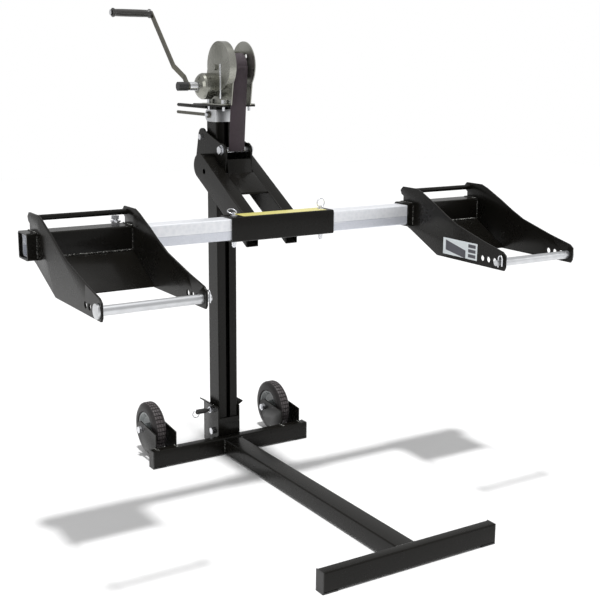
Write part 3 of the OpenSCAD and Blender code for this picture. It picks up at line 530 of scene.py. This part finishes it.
collar = (grip_high[2] - grip_low[2]) / 2
barrel = collar - 0.0026
bore = 0.0046
left_end, right_end = grip_low[0], grip_high[0]
section = [(left_end, bore), (left_end, collar - 0.0016), (left_end + 0.0016, collar),
           (left_end + 0.0052, collar), (left_end + 0.0068, collar - 0.0012), (left_end + 0.0095, barrel),
           (left_end + 0.0300, barrel + 0.0004), (right_end - 0.0300, barrel + 0.0004),
           (right_end - 0.0095, barrel), (right_end - 0.0062, collar - 0.0010), (right_end - 0.0048, collar),
           (right_end - 0.0014, collar), (right_end, collar - 0.0014), (right_end, bore)]
grip_piece = turned("crank_grip_moulded", section, 72)
bpy.ops.object.mode_set(mode="OBJECT")
grip_piece.data.transform(Matrix.Translation((0, grip_y, grip_z)))
bpy.ops.object.shade_smooth_by_angle(angle=math.radians(40))
grip_piece.data.materials.append(grip_plastic)
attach(grip_piece, body_of["crank_grip"])
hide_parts("crank_grip")

# ---- webbing strap ----
# 50 mm woven polyester, purple brown, from the drum down to the carriage
# bolt. It lengthens as the carriage goes down.
def woven(name):
    made, shader, brush, place = finish(name, specular=0.25)
    apart_x = brush.node("ShaderNodeSeparateXYZ", out=0, Vector=place)
    apart_z = brush.node("ShaderNodeSeparateXYZ", out=2, Vector=place)
    warp = brush.node("ShaderNodeMath", {"operation": "SINE"}, i0=apart_x * 3600.0)
    weft = brush.node("ShaderNodeMath", {"operation": "SINE"}, i0=apart_z * 2600.0 + warp * 1.2)
    wear = brush.node("ShaderNodeTexNoise", Vector=place, Scale=30.0, Detail=5.0)
    base = wear.mix((0.050, 0.033, 0.043, 1), (0.086, 0.062, 0.076, 1))
    colour = (warp * weft * 0.25 + 0.3).mix(base, (0.030, 0.022, 0.028, 1))
    lay(shader, brush, colour, wear * 0.2 + 0.62, warp * weft, 0.0006, 0.6)
    shader.inputs["Sheen Weight"].default_value = 0.3
    return made


webbing = woven("woven_webbing")
strap_low, strap_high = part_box("strap")
strap_piece = bpy.data.objects.new("winch_strap", frame["nodes"]["strap"].data.copy())
bpy.context.collection.objects.link(strap_piece)
pick(strap_piece)
bpy.ops.object.mode_set(mode="EDIT")
bpy.ops.mesh.select_all(action="SELECT")
bpy.ops.mesh.remove_doubles(threshold=same_point)
bpy.ops.mesh.dissolve_limited(angle_limit=math.radians(1))
for level in range(1, 24):
    bpy.ops.mesh.select_all(action="SELECT")
    height = strap_low[2] + (strap_high[2] - strap_low[2]) * level / 24
    bpy.ops.mesh.bisect(plane_co=(0, 0, height), plane_no=(0, 0, 1))
bpy.ops.mesh.select_mode(type="EDGE")
straight_edges(strap_piece, 0.004, lambda m, w: abs(w.x) < 0.2)
bpy.ops.mesh.bevel(offset=0.0009, segments=2, clamp_overlap=True)
bpy.ops.object.mode_set(mode="OBJECT")
bpy.ops.object.shade_smooth_by_angle(angle=math.radians(40))
strap_piece.data.materials.clear()
strap_piece.data.materials.append(webbing)
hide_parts("strap")
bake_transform(strap_piece)
dress(webbing, "strap_roll")

# ---- wheels ----
# Solid rubber tyres on grey pressed steel rims. The tread has four ribs cut
# by fine cross grooves.
made, shader, brush, place = finish("solid_rubber", specular=0.35)
bloom = brush.node("ShaderNodeTexNoise", Vector=place, Scale=20.0, Detail=4.0)
grit = brush.node("ShaderNodeTexNoise", Vector=place, Scale=380.0, Detail=3.0)
wheel_low, wheel_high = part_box("tyre_left")
from_hub_y = brush.node("ShaderNodeSeparateXYZ", out=1, Vector=place) - (wheel_low[1] + wheel_high[1]) / 2
from_hub_z = brush.node("ShaderNodeSeparateXYZ", out=2, Vector=place) - (wheel_low[2] + wheel_high[2]) / 2
from_axle = brush.maths("POWER", from_hub_y * from_hub_y + from_hub_z * from_hub_z, 0.5)
# The outermost tread surface is a lighter grey than the rest of the rubber.
lighter_tread_top = (from_axle > (wheel_high[2] - wheel_low[2]) / 2 - 0.0016) * (bloom * 0.6 + 0.4)
rubber = bloom.mix((0.010, 0.009, 0.009, 1), (0.024, 0.021, 0.021, 1))
lay(shader, brush, lighter_tread_top.mix(rubber, (0.105, 0.092, 0.094, 1)), bloom * 0.2 + 0.38, grit, 0.0003, 0.35)
tyre_rubber = made
made, shader, brush, place = finish("grey_rim_paint", coat=0.2)
bloom = brush.node("ShaderNodeTexNoise", Vector=place, Scale=26.0, Detail=4.0)
colour = bloom.mix((0.15, 0.165, 0.165, 1), (0.27, 0.29, 0.29, 1))
lay(shader, brush, colour, bloom * 0.2 + 0.28, bloom, 0.0004, 0.15)
rim_paint = made
dress(rim_paint, "rim_left", "rim_right")
bead_seat = 0.054
groove_depth = 0.0022

for side in ("left", "right"):
    low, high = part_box("tyre_" + side)
    hub = Vector(((low[0] + high[0]) / 2, (low[1] + high[1]) / 2, (low[2] + high[2]) / 2))
    half = (high[0] - low[0]) / 2
    outer = (high[2] - low[2]) / 2
    section = [(-half, bead_seat), (-half, outer - 0.018), (-half + 0.003, outer - 0.008),
               (-half + 0.008, outer - 0.0015)]
    for groove in (-0.0085, -0.0005, 0.0075):
        section += [(groove - 0.0002, outer), (groove + 0.0001, outer - groove_depth),
                    (groove + 0.0012, outer - groove_depth), (groove + 0.0015, outer)]
    section += [(half - 0.008, outer - 0.0015), (half - 0.003, outer - 0.008), (half, outer - 0.018),
                (half, bead_seat), (half - 0.005, 0.0505), (-half + 0.005, 0.0505)]
    piece = turned("tyre_" + side + "_moulded", section, 120)
    mesh = piece.data
    bm = bmesh.from_edit_mesh(mesh)
    for face in bm.faces:
        middle = face.calc_center_median()
        distance = math.hypot(middle.y, middle.z)
        turn = int(round(math.degrees(math.atan2(middle.y, middle.z)) / 3))
        face.select = distance > outer - 0.0009 and turn % 3 == 0
    bmesh.update_edit_mesh(mesh)
    bpy.ops.mesh.inset(thickness=0.0003)
    bpy.ops.mesh.extrude_region_shrink_fatten(TRANSFORM_OT_shrink_fatten={"value": -0.0026})
    bpy.ops.object.mode_set(mode="OBJECT")
    mesh.transform(Matrix.Translation(hub))
    bpy.ops.object.shade_smooth_by_angle(angle=math.radians(35))
    mesh.materials.append(tyre_rubber)
    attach(piece, "wheel_" + side)
    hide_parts("tyre_" + side)

# ---- labels ----
# A plain pale yellow strip lies along the top of the centre tube, and the
# right cradle has a pale card with four plain dark shapes and no words.
def card(name, body, size, place, colours):
    clear_selection()
    bpy.ops.mesh.primitive_cube_add(size=1, location=(0, 0, 0))
    piece = bpy.context.active_object
    piece.name = name
    bpy.ops.object.mode_set(mode="EDIT")
    bpy.ops.transform.resize(value=size)
    bpy.ops.mesh.bevel(offset=min(size) * 0.3, segments=2, clamp_overlap=True)
    bpy.ops.object.mode_set(mode="OBJECT")
    piece.data.transform(Matrix.Translation(place))
    made, shader, brush, where = finish(name + "_print", coat=0.2)
    fade = brush.node("ShaderNodeTexNoise", Vector=where, Scale=24.0, Detail=4.0)
    lay(shader, brush, fade.mix(*colours), fade * 0.1 + 0.35, fade, 0.0001, 0.1)
    piece.data.materials.append(made)
    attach(piece, body)
    return piece


card("tube_strip", "carriage", (0.262, 0.050, 0.0004), (0.010, mast_front - 0.296, tube_high[2] + 0.0002),
     ((0.70, 0.63, 0.17, 1), (0.78, 0.72, 0.27, 1)))
card_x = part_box("cradle_plates_right")[0][0] - 0.0002
card_y = mast_front - 0.329 - 0.2135
card_z = tube_axis - 0.068
card("cradle_card", "cradle_right", (0.0004, 0.143, 0.046), (card_x, card_y, card_z),
     ((0.66, 0.71, 0.73, 1), (0.76, 0.80, 0.82, 1)))
ink = ((0.03, 0.03, 0.04, 1), (0.09, 0.09, 0.11, 1))
ink_x = card_x - 0.0004
for n, above in enumerate((0.0135, 0.0, -0.0135)):
    card(f"cradle_card_block_{n}", "cradle_right", (0.0003, 0.030, 0.0092),
         (ink_x, card_y - 0.050, card_z + above), ink)
wedge_y, wedge_z, wedge_half = card_y + 0.018, card_z - 0.006, 0.042
wedge = card("cradle_card_picture", "cradle_right", (0.0003, wedge_half * 2, 0.022),
             (ink_x, wedge_y, wedge_z), ink)
for point in wedge.data.vertices:
    forward = (wedge_y - point.co.y) / wedge_half
    upper = point.co.z >= wedge_z
    point.co.z -= 0.0065 * forward
    if upper:
        point.co.z += 0.0030 * (1 - forward)
wedge.data.update()
